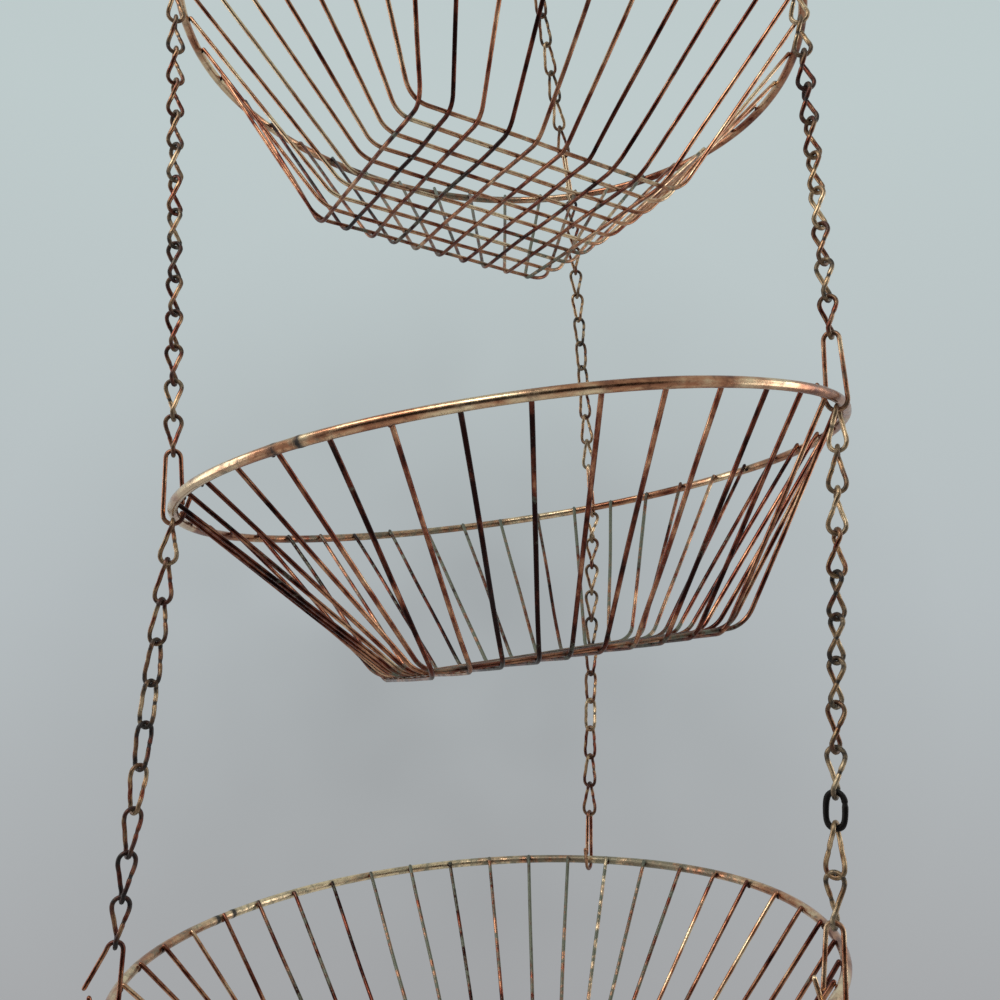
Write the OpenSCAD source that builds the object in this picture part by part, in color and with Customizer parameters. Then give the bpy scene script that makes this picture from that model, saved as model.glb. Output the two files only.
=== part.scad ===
/* [Baskets] */
// Diameter of each basket's rim, to the middle of the rim rod
rim_d = 260; // [200:1:320]
// Thickness of the rim rod
rim_rod_d = 3.6; // [3:0.1:5]
// Thickness of the basket wires
wire_d = 1.7; // [1.4:0.1:2.4]
// Wires in each of the two layers of a basket
wires_per_layer = 10; // [8:2:12]
// Width of the square grid of the base, between its outermost wires
base_w = 105; // [84:1:130]
// Depth of a basket, from the middle of its rim to the underside of its base
basket_depth = 73; // [55:1:95]
// Radius of the bends where the base turns up into the sides
bend_r = 11; // [7:0.5:14]
// How far the long wires run past the grid at one end before they bend
base_overrun = 7; // [2:0.5:10]
// How far the outermost wires of a layer run past the base's corners
corner_lap = 3; // [2.5:0.5:3.5]

/* [Hanging] */
// Height from the hook's seat down to the top rim
top_drop = 250; // [220:1:320]
// Height from the top rim down to the middle rim
middle_drop = 189; // [165:1:240]
// Height from the middle rim down to the bottom rim
bottom_drop = 178; // [165:1:240]
// Direction of the left chain, counterclockwise from the right
left_chain_angle = 197; // [190:1:204]
// Direction of the right chain
right_chain_angle = 328; // [321:1:335]
// Direction of the rear chain
rear_chain_angle = 71; // [64:1:78]
// How much further round the right clip of the top basket stands
top_right_slip = 1.5; // [-4:0.5:4]
// How much further round the left clip of the bottom basket stands
bottom_left_slip = 2.5; // [-4:0.5:4]
// How much further round the rear clip of the bottom basket stands
bottom_rear_slip = -3.5; // [-5:0.5:5]

/* [Pose of the baskets] */
// Turn of the top basket about the upright
top_turn = 29.5; // [0:0.5:89.5]
// Turn of the middle basket
middle_turn = 16.5; // [0:0.5:89.5]
// Turn of the bottom basket
bottom_turn = 22.5; // [0:0.5:89.5]
// Tilt of the top basket, right side down
top_tilt = 2.7; // [-4:0.1:4]
// Tilt of the top basket, rear up
top_pitch = -1.5; // [-4:0.1:4]
// Tilt of the middle basket, right side down
middle_tilt = -8.3; // [-10:0.1:4]
// Tilt of the middle basket, rear up
middle_pitch = 0.7; // [-4:0.1:4]
// Tilt of the bottom basket, right side down
bottom_tilt = -3.7; // [-6:0.1:4]
// Tilt of the bottom basket, rear up
bottom_pitch = 2.5; // [-4:0.1:4]
// How far right of the top basket the middle one hangs
middle_shift = 8.5; // [4:0.5:12]
// How far right of the top basket the bottom one hangs
bottom_shift = -3.5; // [-8:0.5:4]

/* [Chain] */
// Thickness of the chain wire
chain_wire_d = 1.6; // [1.2:0.1:1.8]
// Width of a link, outside
link_w = 7.3; // [6.8:0.1:9]
// Spacing of the links along a straight chain
link_pitch = 13.8; // [12:0.1:18]
// Thickness of the wire of the black repair link
repair_wire_d = 2; // [1.8:0.1:2.2]
// Length of the black repair link, outside
repair_link_l = 13; // [12:0.1:16]

/* [Rim clips] */
// Thickness of the clip wire
clip_wire_d = 1.6; // [1.2:0.1:1.8]
// Length of a clip from its top loop to its bottom loop, outside
clip_l = 29; // [24:0.5:36]
// Width of the clip's bottom loop, outside
clip_w = 8.6; // [8.4:0.1:10]
// Width of the clip's top loop, outside
clip_top_w = 6.9; // [6.7:0.1:7.4]
// Height of a clip's inner wire end above the rim
clip_stub_top = 5.5; // [5:0.25:6]
// Height of a clip's outer wire end above its bottom loop
clip_leg_end = 3.2; // [3:0.1:3.5]
// Length of the pried-open leg of the bottom basket's left clip
open_leg_l = 13; // [12:0.5:14]

/* [Hook and ring] */
// Thickness of the hook's rod
hook_rod_d = 3; // [2.5:0.1:4]
// Radius of the hook's two bends, to the middle of the rod
hook_bend_r = 7; // [6.5:0.1:9]
// Height between the centres of the hook's two bends
hook_span = 26; // [24:0.5:34]
// Thickness of the ring's wire
ring_wire_d = 2.6; // [2:0.1:3]
// Radius of the ring, to the middle of its wire
ring_r = 13; // [12:0.5:16]

/* [Fits] */
// Gap where links, clips and rims bear on each other
bearing_gap = 0.06; // [0.04:0.01:0.1]
// Gap at the left and right clips, which ride free when a basket sways
free_gap = 0.35; // [0.3:0.01:0.45]
// Depth that welded wires sink into each other
weld_sink = 0.3; // [0.2:0.05:0.4]

/* [Hidden] */
$fn = 24;
SIDES = ["left", "right", "rear"];
TIERS = ["top", "middle", "bottom"];

UP = [0, 0, 1];
// Baskets
wire_step = 90 / wires_per_layer;
grid_step = base_w / (wires_per_layer - 1);
rim_r = rim_d / 2;
wire_end_r = rim_r - rim_rod_d / 2 - wire_d / 2 + weld_sink;
wire_end_z = rim_rod_d / 4;
cross_z = -basket_depth + wire_d / 2;
long_z = cross_z + wire_d - weld_sink;
rim_drops = [top_drop, top_drop + middle_drop, top_drop + middle_drop + bottom_drop];
tilts = [[top_pitch, top_tilt], [middle_pitch, middle_tilt], [bottom_pitch, bottom_tilt]];
turns = [top_turn, middle_turn, bottom_turn];
shifts = [0, middle_shift, bottom_shift];
// Where the clips are wanted round each rim, for the left, right and rear chain
clip_places = [
  [left_chain_angle, right_chain_angle + top_right_slip, rear_chain_angle],
  [left_chain_angle, right_chain_angle, rear_chain_angle],
  [left_chain_angle + bottom_left_slip, right_chain_angle, rear_chain_angle + bottom_rear_slip]
];
// A clip keeps this far from the middle of a gap between two wires, in degrees
clip_play = wire_step / 2 - 1.5;
// Chain
chain_r = chain_wire_d / 2;
link_bend_r = (link_w - chain_wire_d) / 2;
repair_bend_r = link_bend_r + 0.1;
repair_links_below = 2;
// Each joint of a bent wire has a ball just thicker than the wire
knuckle = 1.03;
// Clips
clip_r = clip_wire_d / 2;
clip_bottom_r = (clip_w - clip_wire_d) / 2;
clip_top_r = (clip_top_w - clip_wire_d) / 2;
// Below the rim the bottom loop has room for the next chain's first link
loop_bottom = rim_rod_d / 2 + chain_wire_d + clip_r + 4 * bearing_gap;
loop_centre = -loop_bottom + clip_bottom_r;
clip_reach = clip_l - clip_wire_d - loop_bottom;
clip_top_centre = clip_reach - clip_top_r;
clip_taper = asin((clip_bottom_r - clip_top_r) / (clip_top_centre - loop_centre));
clip_stub_flare = 20;
open_leg_flare = 24;
// Hook and ring, with the seat at the origin
hook_r = hook_rod_d / 2;
hook_top_z = hook_r - hook_bend_r;
hook_low_z = hook_top_z - hook_span;
hook_slant = asin(2 * hook_bend_r / hook_span);
ring_top_z = hook_low_z - hook_bend_r + hook_r + ring_wire_d / 2 + bearing_gap;
ring_z = ring_top_z - ring_r;
// Places of the three top links round the ring's lowest point, in degrees along the ring
ring_places = [0, -20, 20];

// Vectors
function unit(v) = v / norm(v);
function across(v, axis) = unit(v - (v * axis) * axis);
function spin_x(v, a) = [v.x, v.y * cos(a) - v.z * sin(a), v.y * sin(a) + v.z * cos(a)];
function spin_y(v, a) = [v.x * cos(a) + v.z * sin(a), v.y, -v.x * sin(a) + v.z * cos(a)];
function polar(a, r = 1) = [r * cos(a), r * sin(a), 0];
function angle_about(v, x_axis, y_axis) = atan2(v * y_axis, v * x_axis);

// Rims, clips and pivots: t is the tier, s is the chain
function gap_middle(t, angle) = turns[t] + wire_step * round((angle - turns[t]) / wire_step);
function clip_angle(t, s) =
  let (middle = gap_middle(t, clip_places[t][s]))
  middle + max(-clip_play, min(clip_play, clip_places[t][s] - middle));
function rim_centre(t) = [shifts[t], 0, -rim_drops[t]];
function rim_point(t, s) =
  rim_centre(t) + spin_y(spin_x(polar(clip_angle(t, s), rim_r), tilts[t].x), tilts[t].y);
function ring_point(s) = [0, ring_r * sin(ring_places[s]), ring_z - ring_r * cos(ring_places[s])];
function ring_tangent(s) = [0, cos(ring_places[s]), sin(ring_places[s])];
function run_start(t, s) = t == 0 ? ring_point(s) : clip_low(t - 1, s);
function clip_axis(t, s) = unit(run_start(t, s) - rim_point(t, s));
function clip_out(t, s) = across(polar(clip_angle(t, s)), clip_axis(t, s));
function clip_top(t, s) = rim_point(t, s) + clip_reach * clip_axis(t, s);
function clip_up(t, s) =
  unit((UP * clip_axis(t, s)) * clip_axis(t, s) + (UP * clip_out(t, s)) * clip_out(t, s));
function clip_low(t, s) =
  rim_point(t, s) + loop_centre * clip_axis(t, s) - clip_bottom_r * clip_up(t, s);
function clip_low_tangent(t, s) = across(clip_out(t, s), clip_up(t, s));
// The repair link hangs a few links above the bottom right clip
repair_up = clip_axis(2, 1);
repair_low = clip_top(2, 1) + (repair_links_below * link_pitch + chain_r - clip_r) * repair_up;
repair_high = repair_low + (repair_link_l - repair_wire_d) * repair_up;

echo(pivots_hook = [0, 0, hook_low_z - hook_bend_r], pivots_ring = [0, 0, ring_z - ring_r]);
for (t = [0:1]) for (s = [0:2])
  echo(tier = TIERS[t + 1], side = SIDES[s], high = clip_low(t, s), low = clip_top(t + 1, s));

// A straight rod from one point to another, with a knuckle wherever it meets a bend
module rod(from, to, r, knuckles) {
  along = to - from;
  translate(from)
    rotate([0, acos(along.z / norm(along)), atan2(along.y, along.x)])
      cylinder(h = norm(along), r = r);
  for (at = knuckles)
    translate(at) sphere(r * knuckle);
}

// Places what is drawn on x, y and z along three given directions
module framed(origin, x_axis, y_axis, z_axis) {
  multmatrix([
    [x_axis.x, y_axis.x, z_axis.x, origin.x],
    [x_axis.y, y_axis.y, z_axis.y, origin.y],
    [x_axis.z, y_axis.z, z_axis.z, origin.z]
  ]) children();
}

// An arc of round wire in the x-y plane, from the x axis towards y
module arc(bend, angle, r) {
  rotate_extrude(angle = angle) translate([bend, 0]) circle(r);
}

// A bend in a wire that arrives at a point along one direction and leaves along another
module bend(at, heading, leaving, bend, r) {
  side = across(leaving, heading);
  framed(at + bend * side, -side, heading, cross(-side, heading))
    arc(bend, acos(heading * leaving), r);
}

// One basket wire: a flat stretch along x, and two sides that rise and fan out to the rim
module basket_wire(y, fan, z, lap_low, lap_high) {
  ends = [[-base_w / 2 - lap_low, 180 - fan], [base_w / 2 + lap_high, fan]];
  turns = [for (e = ends)
    let (corner = [e[0], y, z],
         tip = polar(e[1], wire_end_r) + [0, 0, wire_end_z],
         out = [sign(e[0]), 0, 0],
         rise = unit(tip - corner),
         reach = bend_r * tan(acos(out * rise) / 2))
    [corner - reach * out, out, rise, corner + reach * rise, tip]];
  rod(turns[0][0], turns[1][0], wire_d / 2, [turns[0][0], turns[1][0]]);
  for (t = turns) {
    bend(t[0], t[1], t[2], bend_r, wire_d / 2);
    rod(t[3], t[4], wire_d / 2, [t[3]]);
  }
}

module wire_layer(z, lap_low, lap_high) {
  for (i = [0:wires_per_layer - 1]) {
    place = i - (wires_per_layer - 1) / 2;
    basket_wire(place * grid_step, place * wire_step, z, lap_low, lap_high);
  }
}

module at_tier(t) {
  translate(rim_centre(t)) rotate([tilts[t].x, tilts[t].y, 0]) children();
}

module rim(t) {
  color("peru") at_tier(t) rotate_extrude($fn = 96) translate([rim_r, 0]) circle(rim_rod_d / 2);
}

module long_wires(t) {
  color("sienna") at_tier(t) rotate(turns[t])
    wire_layer(long_z, corner_lap, corner_lap + base_overrun);
}

module cross_wires(t) {
  color("sienna") at_tier(t) rotate(turns[t] + 90) wire_layer(cross_z, corner_lap, corner_lap);
}

// One twisted link: its top bend lies in the y-z plane and its bottom bend in the x-z plane
module twisted_link(length) {
  straight = length / 2 - link_bend_r;
  translate([0, 0, straight]) rotate([90, 0, 90]) arc(link_bend_r, 180, chain_r);
  translate([0, 0, -straight]) rotate([-90, 0, 0]) arc(link_bend_r, 180, chain_r);
  for (side = [-1, 1]) {
    high = [0, side * link_bend_r, straight];
    low = [side * link_bend_r, 0, -straight];
    rod(high, low, chain_r, [high, low]);
  }
}

// A straight run of links between two wires that hold its ends.
// The run turns a little from link to link, so that its end bends stand square to both wires.
module chain_run(high, high_r, high_tangent, low, low_r, low_tangent, low_gap) {
  up = unit(high - low);
  x_axis = across([1, 0, 0], up);
  y_axis = cross(up, x_axis);
  span = norm(high - low) + high_r + low_r + chain_wire_d + bearing_gap + low_gap;
  between = chain_wire_d + bearing_gap;
  count = max(1, round((span - between) / link_pitch));
  length = (span + (count - 1) * between) / count;
  start = angle_about(high_tangent, x_axis, y_axis);
  finish = angle_about(low_tangent, x_axis, y_axis) - 90;
  twist = finish - start - 180 * round((finish - start) / 180);
  first = high + up * (high_r + chain_r + bearing_gap - length / 2);
  for (i = [0:count - 1])
    framed(first - i * (length - between) * up, x_axis, y_axis, up)
      rotate(start + (count > 1 ? twist * i / (count - 1) : 0))
        twisted_link(length);
}

module upper_chain(s) {
  color("darkgoldenrod")
    chain_run(ring_point(s), ring_wire_d / 2, ring_tangent(s),
              clip_top(0, s), clip_r, clip_out(0, s), bearing_gap);
}

module tier_chain(t, s) {
  color("darkgoldenrod")
    chain_run(clip_low(t, s), clip_r, clip_low_tangent(t, s),
              clip_top(t + 1, s), clip_r, clip_out(t + 1, s), s == 2 ? bearing_gap : free_gap);
}

module right_lower_chain() {
  tangent = clip_out(2, 1);
  color("darkgoldenrod") {
    chain_run(clip_low(1, 1), clip_r, clip_low_tangent(1, 1),
              repair_high, repair_wire_d / 2, tangent, bearing_gap);
    chain_run(repair_low, repair_wire_d / 2, tangent,
              clip_top(2, 1), clip_r, clip_out(2, 1), free_gap);
  }
}

// A plain oval link of thicker wire that someone has closed in by hand
module repair_link() {
  height = repair_link_l - repair_wire_d - 2 * repair_bend_r;
  color("dimgray")
    framed(repair_low, clip_out(2, 1), cross(repair_up, clip_out(2, 1)), repair_up)
      translate([0, 0, repair_bend_r]) {
        rotate([-90, 0, 0]) arc(repair_bend_r, 180, repair_wire_d / 2);
        translate([0, 0, height]) rotate([90, 0, 0]) arc(repair_bend_r, 180, repair_wire_d / 2);
        for (side = [-1, 1]) {
          foot = [side * repair_bend_r, 0, 0];
          rod(foot, foot + height * UP, repair_wire_d / 2, [foot, foot + height * UP]);
        }
      }
}

// A wire clip in the x-z plane with the rim's rod at the origin, split on its negative side.
// It is a narrow loop above and a wide loop below, joined by two legs that touch both in line.
module rim_clip(pried_open = false) {
  lean = [sin(clip_taper), 0, cos(clip_taper)];
  square = [cos(clip_taper), 0, -sin(clip_taper)];
  low_out = [0, 0, loop_centre] + clip_bottom_r * [square.x, 0, -square.z];
  top_out = [0, 0, clip_top_centre] + clip_top_r * [square.x, 0, -square.z];
  translate([0, 0, clip_top_centre]) rotate([90, 0, 0]) rotate(clip_taper)
    arc(clip_top_r, 180 - 2 * clip_taper, clip_r);
  translate([0, 0, loop_centre]) rotate([-90, 0, 0]) rotate(-clip_taper)
    arc(clip_bottom_r, 180 + clip_taper - clip_stub_flare, clip_r);
  rod(low_out, top_out, clip_r, [low_out, top_out]);
  stub_foot = [0, 0, loop_centre] - clip_bottom_r * [cos(clip_stub_flare), 0, sin(clip_stub_flare)];
  stub_up = [-sin(clip_stub_flare), 0, cos(clip_stub_flare)];
  stub_l = (clip_stub_top - stub_foot.z) / stub_up.z;
  rod(stub_foot, stub_foot + stub_l * stub_up, clip_r, [stub_foot]);
  shoulder = [-top_out.x, 0, top_out.z];
  leg_down = pried_open ? [-sin(open_leg_flare), 0, -cos(open_leg_flare)] : -lean;
  leg_l = pried_open ? open_leg_l : (shoulder.z - clip_leg_end) / lean.z;
  rod(shoulder, shoulder + leg_l * leg_down, clip_r, [shoulder]);
}

module clip(t, s) {
  pried_open = t == 2 && s == 0;
  inward = pried_open ? -1 : 1;
  out = inward * clip_out(t, s);
  color("peru")
    framed(rim_point(t, s), out, cross(clip_axis(t, s), out), clip_axis(t, s))
      rim_clip(pried_open);
}

// The hook is an S in the x-z plane: two bends and a slanting shank that touches both in line
module s_hook() {
  shank = hook_bend_r * [cos(hook_slant), 0, -sin(hook_slant)];
  color("darkgray") {
    translate([0, 0, hook_top_z]) rotate([90, 0, 0]) rotate(-hook_slant)
      arc(hook_bend_r, 180 + hook_slant, hook_r);
    translate([0, 0, hook_low_z]) rotate([90, 0, 0]) rotate(180 - hook_slant)
      arc(hook_bend_r, 180 + hook_slant, hook_r);
    high = [0, 0, hook_top_z] + shank;
    low = [0, 0, hook_low_z] - shank;
    rod(high, low, hook_r, [high, low]);
  }
}

module hanging_ring() {
  color("peru") translate([0, 0, ring_z]) rotate([90, 0, 90])
    rotate_extrude($fn = 48) translate([ring_r, 0]) circle(ring_wire_d / 2);
}

s_hook();
hanging_ring();
right_lower_chain();
repair_link();
for (s = [0:2]) {
  upper_chain(s);
  tier_chain(0, s);
  if (s != 1)
    tier_chain(1, s);
}
for (t = [0:2]) {
  rim(t);
  long_wires(t);
  cross_wires(t);
  for (s = [0:2])
    clip(t, s);
}
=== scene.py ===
"""A three-tier hanging fruit basket of aged copper-coloured wire, dressed piece by piece."""
import math

import bpy
import numpy as np
from bpy.props import FloatProperty, FloatVectorProperty, IntProperty, PointerProperty
from mathutils import Matrix


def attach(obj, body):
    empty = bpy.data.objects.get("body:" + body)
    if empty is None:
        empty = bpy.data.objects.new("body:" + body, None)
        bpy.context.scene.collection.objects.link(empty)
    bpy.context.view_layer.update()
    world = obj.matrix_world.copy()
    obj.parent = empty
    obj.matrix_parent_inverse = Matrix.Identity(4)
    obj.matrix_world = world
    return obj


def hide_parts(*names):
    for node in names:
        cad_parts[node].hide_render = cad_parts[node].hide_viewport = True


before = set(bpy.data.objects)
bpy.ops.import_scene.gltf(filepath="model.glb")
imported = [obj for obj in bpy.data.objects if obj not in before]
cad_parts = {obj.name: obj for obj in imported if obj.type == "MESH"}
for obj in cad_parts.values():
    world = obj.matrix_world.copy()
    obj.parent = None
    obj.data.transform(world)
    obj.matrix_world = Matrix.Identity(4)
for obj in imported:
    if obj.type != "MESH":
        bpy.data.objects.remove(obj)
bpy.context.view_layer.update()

bl_info = {
    "name": "Hanging Fruit Basket",
    "version": (1, 0, 0),
    "blender": (4, 5, 0),
    "location": "View3D > Sidebar > Fruit Basket",
    "description": "Builds a three-tier hanging basket of copper wire with chains, clips and stage",
    "category": "Add Mesh",
}

TIERS = ("top", "middle", "bottom")
SIDES = ("left", "right", "rear")
UP = np.array((0.0, 0.0, 1.0))
# A clip stays this angle away from the wire beside it
WIRE_CLEARANCE = math.radians(1.5)
# Where the three top links hang, in degrees along the ring from its lowest point
RING_PLACES = (0, -20, 20)
# Plain links between the black link and the clip below it
LINKS_BELOW_REPAIR = 2
# How much wider the black link's bends are than a plain link's
REPAIR_EASE = 0.0001
# Degrees by which a clip's inner wire end and its pried-open leg lean outwards
STUB_FLARE, OPEN_FLARE = 20, 24
# Where each rim's joint is, in degrees from +X, and how far round the rim it reaches
RIM_SEAMS = (205, 238, 150)
JOINT_ARC = 0.078


# Sizes and colours


def length(name, description, value):
    return FloatProperty(name=name, description=description, default=value, unit="LENGTH")


def lengths(name, description, values):
    return FloatVectorProperty(name=name, description=description, default=values, unit="LENGTH")


def angles(name, description, *values):
    """Three angles, given in degrees."""
    return FloatVectorProperty(name=name, description=description, unit="ROTATION",
                               default=tuple(math.radians(v) for v in values))


def colour(name, description, value):
    return FloatVectorProperty(name=name, description=description, subtype="COLOR", size=4,
                               default=(*value, 1.0), min=0.0, max=1.0)


class BasketSizes(bpy.types.PropertyGroup):
    """Sizes that the three baskets share"""
    rim_diameter: length("Rim diameter", "Across the middle of the rim rod", 0.260)
    rim_rod: length("Rim rod", "Thickness of the rim rod", 0.0036)
    wire: length("Wire", "Thickness of the basket wires", 0.0017)
    wires_per_layer: IntProperty(name="Wires per layer", default=10, min=8, max=12,
                                 description="Wires in each of the two layers")
    base_width: length("Base width", "Between the grid's outermost wires", 0.105)
    depth: length("Depth", "Rim's middle to the underside of the base", 0.073)
    bend_radius: length("Bend radius", "Where the base turns up into the sides", 0.011)
    corner_lap: length("Corner lap", "How far a wire passes the outermost one", 0.003)
    base_overrun: length("Overrun", "Extra length of the long wires at one end", 0.007)
    weld_sink: length("Weld sink", "Depth that welded wires sink into each other", 0.0003)
    waviness: length("Waviness", "How far hand-bent wires stray from true", 0.0006)


class HangingPlaces(bpy.types.PropertyGroup):
    """Where the baskets hang and how each one leans"""
    drops: lengths("Drops", "Rim heights, each below the one before", (0.250, 0.189, 0.178))
    shifts: lengths("Shifts", "How far right each basket hangs", (0.0, 0.0085, -0.0035))
    turns: angles("Turns", "Turn of each basket about the upright", 29.5, 16.5, 22.5)
    tilts: angles("Tilts", "Tilt of each basket, right side down", 2.7, -8.3, -3.7)
    pitches: angles("Pitches", "Tilt of each basket, rear up", -1.5, 0.7, 2.5)
    chain_angles: angles("Chain angles", "Left, right and rear chain", 197, 328, 71)
    top_slips: angles("Top slips", "Slip of each clip of the top rim", 0, 1.5, 0)
    bottom_slips: angles("Bottom slips", "Slip of each clip of the bottom rim", 2.5, 0, -3.5)


class ChainSizes(bpy.types.PropertyGroup):
    """Sizes of the links, clips, hook and ring"""
    wire: length("Chain wire", "Thickness of the chain wire", 0.0016)
    link_width: length("Link width", "Outside", 0.0073)
    link_pitch: length("Link pitch", "Spacing of the links", 0.0138)
    repair_wire: length("Black link wire", "Thickness", 0.002)
    repair_length: length("Black link length", "Outside", 0.013)
    clip_wire: length("Clip wire", "Thickness", 0.0016)
    clip_length: length("Clip length", "Outside", 0.029)
    clip_width: length("Clip width", "Bottom loop, outside", 0.0086)
    clip_top_width: length("Clip top width", "Top loop, outside", 0.0069)
    clip_stub_top: length("Clip stub top", "Inner wire end above the rim's middle", 0.0055)
    clip_leg_end: length("Clip leg end", "Outer wire end above the rim's middle", 0.0032)
    open_leg: length("Open leg", "Pried-open leg of the bottom left clip", 0.013)
    hook_rod: length("Hook rod", "Thickness", 0.003)
    hook_bend: length("Hook bend", "Radius of both bends", 0.007)
    hook_span: length("Hook span", "Between the bends' centres", 0.026)
    ring_wire: length("Ring wire", "Thickness", 0.0026)
    ring_radius: length("Ring radius", "To the middle of the wire", 0.013)
    bearing_gap: length("Bearing gap", "Where links bear on each other", 0.00006)
    free_gap: length("Free gap", "At the left and right clips", 0.00035)


class MetalColours(bpy.types.PropertyGroup):
    """Colours of the worn plating and of the metals under it"""
    maroon: colour("Maroon", "Darkest of the aged copper", (0.020, 0.007, 0.006))
    brown: colour("Copper brown", "Where the plating has toned", (0.170, 0.045, 0.026))
    copper: colour("Copper", "Sound plating", (0.520, 0.240, 0.130))
    # Pale gold is rubbed plating, and also the colour of the painted highlight on the rims' paler
    # arcs and the long basket wires
    gold: colour("Pale gold", "Rubbed plating", (0.860, 0.640, 0.400))
    verdigris: colour("Verdigris", "Grey-green bloom", (0.125, 0.128, 0.088))
    soot: colour("Soot", "Blackened welds and joints", (0.012, 0.009, 0.008))
    brass: colour("Chain brass", "Sound parts of the links", (0.430, 0.265, 0.140))
    iron: colour("Black iron", "The mended link", (0.020, 0.018, 0.017))
    steel: colour("Hook steel", "The ceiling hook", (0.360, 0.345, 0.320))


class StudioSettings(bpy.types.PropertyGroup):
    """Camera, backdrop, floor and lamps"""
    camera_place: lengths("Camera place", "In metres", (0.01174, -0.3855, -0.5102))
    camera_turn: FloatVectorProperty(name="Camera turn", description="Yaw, pitch up and roll",
                                     default=(-0.02, 0.1621, -0.0002), unit="ROTATION")
    lens: FloatProperty(name="Lens", default=34.94,
                        description="Focal length in mm on a 36 mm sensor")
    wall_low: colour("Wall below", "Backdrop under the horizon", (0.374, 0.379, 0.389))
    wall_middle: colour("Wall level", "Backdrop at eye height", (0.468, 0.510, 0.527))
    wall_high: colour("Wall above", "Backdrop overhead", (0.518, 0.596, 0.600))
    wall_shadow: FloatProperty(name="Wall shadow", default=0.24, min=0.0, max=1.0,
                               description="Soft shade of the baskets on the wall")
    floor: colour("Floor", "Pale floor", (0.62, 0.63, 0.64))
    floor_drop: length("Floor drop", "Below the hook's seat", 1.05)
    key_power: FloatProperty(name="Key power", description="Large soft lamp above", default=9.0)
    side_power: FloatProperty(name="Side power", default=4.0,
                              description="Each of the two side lamps")


SETTINGS = {"basket_sizes": BasketSizes, "hanging_places": HangingPlaces, "chain_sizes": ChainSizes,
            "metal_colours": MetalColours, "studio_settings": StudioSettings}


# Vectors and where everything hangs


def unit(v):
    """Each vector of v at length 1."""
    v = np.asarray(v, dtype=float)
    return v / np.linalg.norm(v, axis=-1, keepdims=True)


def across(v, axis):
    """The direction of v square to axis."""
    return unit(v - np.dot(v, axis) * axis)


def polar(angle):
    """The level direction at an angle from +X."""
    return np.array((math.cos(angle), math.sin(angle), 0.0))


def wrapped(angle):
    """The same angle between half a turn back and half a turn on."""
    return (angle + np.pi) % (2 * np.pi) - np.pi


def spin(axis, angle):
    return np.array(Matrix.Rotation(angle, 3, axis))


def tier_frame(t):
    """Centre of a rim and its tilt: about X by its pitch, then about Y by its tilt."""
    places = bpy.context.scene.hanging_places
    centre = np.array((places.shifts[t], 0.0, -sum(places.drops[:t + 1])))
    return centre, spin("Y", places.tilts[t]) @ spin("X", places.pitches[t])


def clip_levels():
    """Heights in a clip's own axes, with the rim rod at the origin."""
    basket, chain = bpy.context.scene.basket_sizes, bpy.context.scene.chain_sizes
    wide = (chain.clip_width - chain.clip_wire) / 2
    narrow = (chain.clip_top_width - chain.clip_wire) / 2
    foot = basket.rim_rod / 2 + chain.wire + chain.clip_wire / 2 + 4 * chain.bearing_gap
    reach = chain.clip_length - chain.clip_wire - foot
    return {"wide": wide, "narrow": narrow, "low": wide - foot, "high": reach - narrow,
            "reach": reach}


def hook_and_ring():
    """Heights of the hook's two bends, of the ring's middle and the ring's radius."""
    c = bpy.context.scene.chain_sizes
    high = c.hook_rod / 2 - c.hook_bend
    low = high - c.hook_span
    ring = low - c.hook_bend + c.hook_rod / 2 + c.ring_wire / 2 + c.bearing_gap - c.ring_radius
    return high, low, ring, c.ring_radius


def clips_and_runs():
    """Where every clip stands and which two wires hold the ends of every run of chain.

    A clip stands in the gap between two wires that is nearest its chain, and lines up with the
    chain above it.
    """
    scene = bpy.context.scene
    basket, places, chain = scene.basket_sizes, scene.hanging_places, scene.chain_sizes
    level = clip_levels()
    step = math.radians(90) / basket.wires_per_layer
    play = step / 2 - WIRE_CLEARANCE
    ring_z, ring_r = hook_and_ring()[2:]
    slips = (places.top_slips, (0, 0, 0), places.bottom_slips)
    clips, runs = {}, {}
    for k, side in enumerate(SIDES):
        place = math.radians(RING_PLACES[k])
        start = np.array((0, ring_r * math.sin(place), ring_z - ring_r * math.cos(place)))
        held = (start, chain.ring_wire / 2, np.array((0, math.cos(place), math.sin(place))))
        for t in range(len(TIERS)):
            centre, lean = tier_frame(t)
            wanted = places.chain_angles[k] + slips[t][k]
            middle = places.turns[t] + step * round((wanted - places.turns[t]) / step)
            flat = polar(middle + max(-play, min(play, wanted - middle)))
            rim = centre + lean @ (flat * basket.rim_diameter / 2)
            axis = unit(start - rim)
            out = across(flat, axis)
            top = rim + level["reach"] * axis
            up = unit(np.dot(UP, axis) * axis + np.dot(UP, out) * out)
            gap = chain.bearing_gap if side == "rear" or t == 0 else chain.free_gap
            runs[t, side] = (*held, top, chain.clip_wire / 2, out, gap)
            clips[t, side] = {"rim": rim, "out": out, "axis": axis, "top": top}
            start = rim + level["low"] * axis - level["wide"] * up
            held = (start, chain.clip_wire / 2, across(out, up))
    return clips, runs


def repair_ends():
    """Where the middles of the black link's two end bends are, and the clip below it."""
    chain = bpy.context.scene.chain_sizes
    clip = clips_and_runs()[0][2, "right"]
    below = LINKS_BELOW_REPAIR * chain.link_pitch + (chain.wire - chain.clip_wire) / 2
    low = clip["top"] + below * clip["axis"]
    return low, low + (chain.repair_length - chain.repair_wire) * clip["axis"], clip


# Round wire along paths


def wander(seed, rows, stations, waves=5):
    """Smooth random strays: a few sines of random phase whose size falls with their number."""
    rng = np.random.default_rng(seed)
    k = np.arange(1, waves + 1)
    phase = rng.uniform(0, 2 * np.pi, (rows, 1, waves))
    size = rng.normal(0, 1, (rows, 1, waves)) / k ** 0.8
    along = np.linspace(0, 1, stations)[None, :, None]
    return (size * np.sin(2 * np.pi * k * along + phase)).sum(-1) / 1.6


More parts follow.
